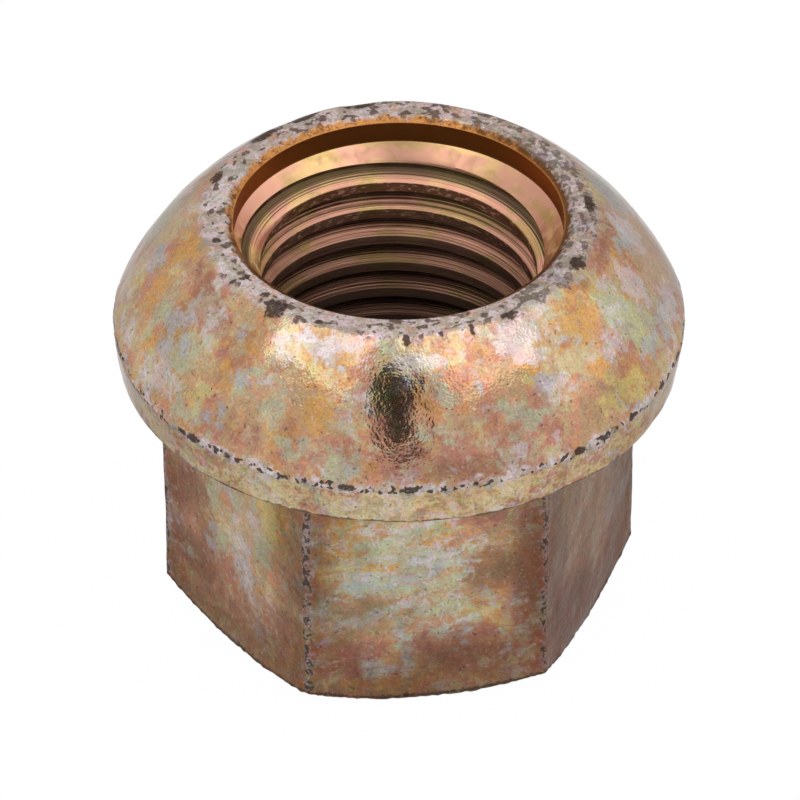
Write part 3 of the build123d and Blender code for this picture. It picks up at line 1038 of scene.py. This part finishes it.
def buildFinish():
    material = bpy.data.materials.new("yellowZinc")
    material.use_nodes = True
    tree = material.node_tree
    at = readSkin(tree)
    colour = filmColour(at)
    for coat in (flatTones, bandTones, wornEdges, chips, grainAndDirt):
        colour = coat(at, colour)
    bore = boreColour(at)
    edge, blend = finish["mouthEdge"], finish["mouthBlend"]
    outside = ramp(at.radius + sway(at.speck[0], 0.4) + sway(at.mottle[2], 0.5), edge - blend, edge + blend)

    bare = larger(at.rimBare, at.cornerBare, at.ringBare)
    roughness = finish["outsideRoughness"] + sway(at.mottle[2], 0.2)
    roughness = roughness + at.worn * 0.08 + bare * 0.2 + at.underBase * 0.5
    # only the cheap noises reach the bump, which is worked out three times at every point
    turned = ramp(at.radius, 7.6, 7.4)
    height = (sway(at.speck[1], 0.009) + sway(at.dust[2], 0.003) - at.ringBare * 0.02) * (1 - turned)
    height = height + sway(at.toolLines, 0.05) * at.threaded * turned
    settings = {
        "Base Color": mixed(outside, bore, colour),
        "Metallic": blendTo(at.underBase, finish["metal"], finish["underMetal"]),
        "Roughness": blendTo(outside, finish["boreRoughness"] + at.onCrest * 0.2, roughness),
        "Specular Tint": finish["edgeTint"],
        "Specular IOR Level": finish["specular"],
        "Normal": addNode(tree, "ShaderNodeBump", {"Height": height * mm, "Strength": 1.0, "Distance": 1.0}),
    }
    for name, value in settings.items():
        plug(tree, tree.nodes["Principled BSDF"].inputs[name], value)
    print("finish mixed")
    return material


piece = buildNut(buildFinish())
paintPatches(piece)
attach(piece, "root")
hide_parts("lug_nut")

stage = {
    "floorSize": 3.0,
    "floorGlow": 0.98,
    "floorGap": 0.02,
    "white": (1, 1, 1, 1),
}
lamps = {
    "rightFill": {"power": 0.11, "size": 0.35, "azimuth": 88, "elevation": 33, "distance": 0.5},
    "leftSoftbox": {"power": 0.19, "size": 0.26, "azimuth": -50, "elevation": 57, "distance": 0.45},
    "rightSoftbox": {"power": 0.19, "size": 0.26, "azimuth": 48, "elevation": 55, "distance": 0.45},
}
cameraCard = {
    "width": 0.1,
    "height": 0.205,
    "azimuth": 0,
    "elevation": 38.5,
    "distance": 0.33,
    "outline": [(-0.5, -1), (0.3, -1), (0.8, -0.4), (1, 0.1), (0.9, 0.5), (0.4, 0.9), (-0.3, 1), (-0.8, 0.8),
                (-1, 0.2), (-1, -0.5)],
    "leftShade": (0.012, 0.05, 0.035, 1),
    "rightShade": (0.03, 0.012, 0.06, 1),
}
view = {
    "lens": 303.906,
    "distance": 306.777,
    "elevation": 37.886,
    "aimHeight": 9.7683,
    "aimSide": 0.0292,
    "roll": -0.2063,
}


def emptyTree(owner):  # a material or world with nothing in its tree
    owner.use_nodes = True
    owner.node_tree.nodes.clear()
    return owner.node_tree


def finishTree(tree, kind, shader):
    plug(tree, tree.nodes.new(kind).inputs[0], shader)


def buildFloor():
    mesh = bpy.data.meshes.new("floor")
    half = stage["floorSize"] / 2
    z = -stage["floorGap"] * mm
    corners = [(-half, -half, z), (half, -half, z), (half, half, z), (-half, half, z)]
    mesh.from_pydata(corners, [], [(0, 1, 2, 3)])
    floor = linked("floor", mesh)
    material = bpy.data.materials.new("paleFloor")
    tree = emptyTree(material)
    matt = addNode(tree, "ShaderNodeBsdfDiffuse", {"Color": stage["white"]})
    glow = addNode(tree, "ShaderNodeEmission", {"Color": stage["white"], "Strength": 1.0})
    rays = [addNode(tree, "ShaderNodeLightPath", out=kind)
            for kind in ("Is Camera Ray", "Is Glossy Ray", "Is Transmission Ray")]
    share = larger(*rays) * stage["floorGlow"]
    both = addNode(tree, "ShaderNodeMixShader", {0: share, 1: matt, 2: glow})
    finishTree(tree, "ShaderNodeOutputMaterial", both)
    mesh.materials.append(material)


def buildWorld():
    scene.world = bpy.data.worlds.new("tent")
    tree = emptyTree(scene.world)
    light = addNode(tree, "ShaderNodeBackground", {"Color": stage["white"], "Strength": 1.0})
    finishTree(tree, "ShaderNodeOutputWorld", light)


def towards(azimuth, elevation, distance):  # a place as seen from the nut, azimuth from the front
    angle, lift = math.radians(front + azimuth), math.radians(elevation)
    out = Vector((math.cos(lift) * math.cos(angle), math.cos(lift) * math.sin(angle), math.sin(lift)))
    return out * distance


def buildLamps():
    for name, lamp in lamps.items():
        data = bpy.data.lights.new(name, "AREA")
        data.energy = lamp["power"]
        data.size = lamp["size"]
        made = linked(name, data)
        made.location = towards(lamp["azimuth"], lamp["elevation"], lamp["distance"])
        made.rotation_euler = made.location.to_track_quat("Z", "Y").to_euler()


def buildCameraCard():
    # what the shiny seat mirrors where it faces the camera: a dark figure, greenish on one side
    mesh = bpy.data.meshes.new("cameraCard")
    centre = towards(cameraCard["azimuth"], cameraCard["elevation"], cameraCard["distance"])
    turn = centre.to_track_quat("Z", "Y").to_matrix()
    across, up = cameraCard["width"] / 2, cameraCard["height"] / 2
    corners = [turn @ Vector((u * across, v * up, 0)) + centre for u, v in cameraCard["outline"]]
    mesh.from_pydata(corners, [], [tuple(range(len(corners)))])
    card = linked("cameraCard", mesh)
    material = bpy.data.materials.new("darkCloth")
    tree = emptyTree(material)
    place = addNode(tree, "ShaderNodeTexCoord", out="Object")
    edge = ramp(split(place)[0] + sway(noise(place, 24.0, 2.0, 0.5), 0.12), -0.05, -0.02)
    shade = mixed(edge, cameraCard["leftShade"], cameraCard["rightShade"])
    dim = addNode(tree, "ShaderNodeEmission", {"Color": shade, "Strength": 1.0})
    finishTree(tree, "ShaderNodeOutputMaterial", dim)
    mesh.materials.append(material)
    card.visible_camera = card.visible_diffuse = card.visible_shadow = False


def buildCamera():
    elevation, azimuth = math.radians(view["elevation"]), math.radians(front)
    out = Vector((math.cos(azimuth), math.sin(azimuth), 0))
    side = Vector((-math.sin(azimuth), math.cos(azimuth), 0))
    aim = side * view["aimSide"] + Vector((0, 0, view["aimHeight"]))
    place = aim + (out * math.cos(elevation) + Vector((0, 0, math.sin(elevation)))) * view["distance"]
    back = (place - aim).normalized()
    up = back.cross(side.normalized())
    turned = Matrix((side.normalized(), up, back)).transposed().to_4x4()
    turned = turned @ Matrix.Rotation(math.radians(view["roll"]), 4, "Z")
    camera = linked("camera", bpy.data.cameras.new("camera"))
    camera.data.lens = view["lens"]
    camera.data.sensor_width = 36
    camera.data.clip_start = 0.01
    camera.matrix_world = Matrix.Translation(place * mm) @ turned
    scene.camera = camera


buildFloor()
buildWorld()
buildLamps()
buildCameraCard()
buildCamera()
print("stage and camera set")
